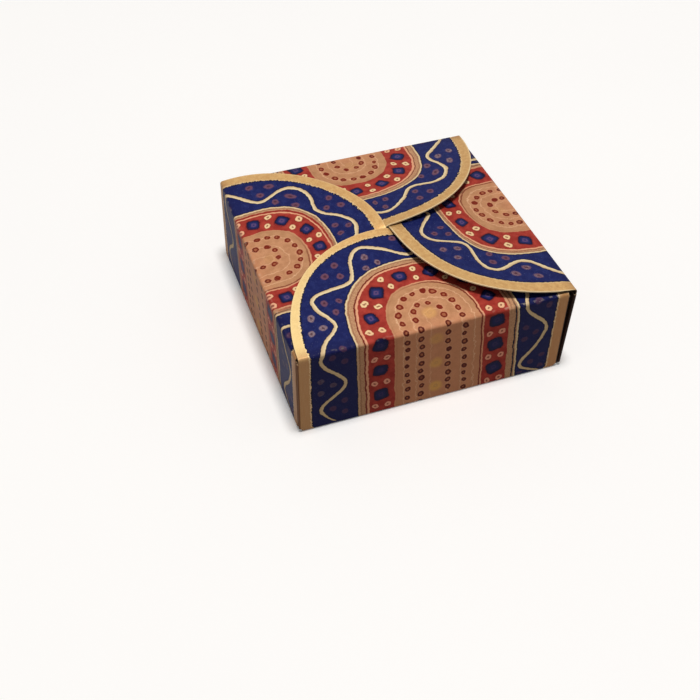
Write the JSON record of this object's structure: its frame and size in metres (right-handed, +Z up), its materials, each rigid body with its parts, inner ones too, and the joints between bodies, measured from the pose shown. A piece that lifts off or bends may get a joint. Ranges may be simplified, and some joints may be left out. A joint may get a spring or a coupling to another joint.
{
  "type": "paper gift box",
  "caption": "Square gift box folded from one sheet of printed card, with folded web corners and a pinwheel lid of interlocked round petals.",
  "frame": {"origin": "middle of the underside of the base, on the surface that the box stands on", "axes": "+Z up; the front wall faces -Y and the right wall, which leans out at its front end, faces +X"},
  "size_m": [0.1032, 0.1, 0.0414],
  "materials": {
    "printed_card": "satin gloss print in navy, brick red and tan with a metallic gold edge"
  },
  "bodies": {
    "root": {"folded_card": "printed_card"}
  },
  "joints": []
}
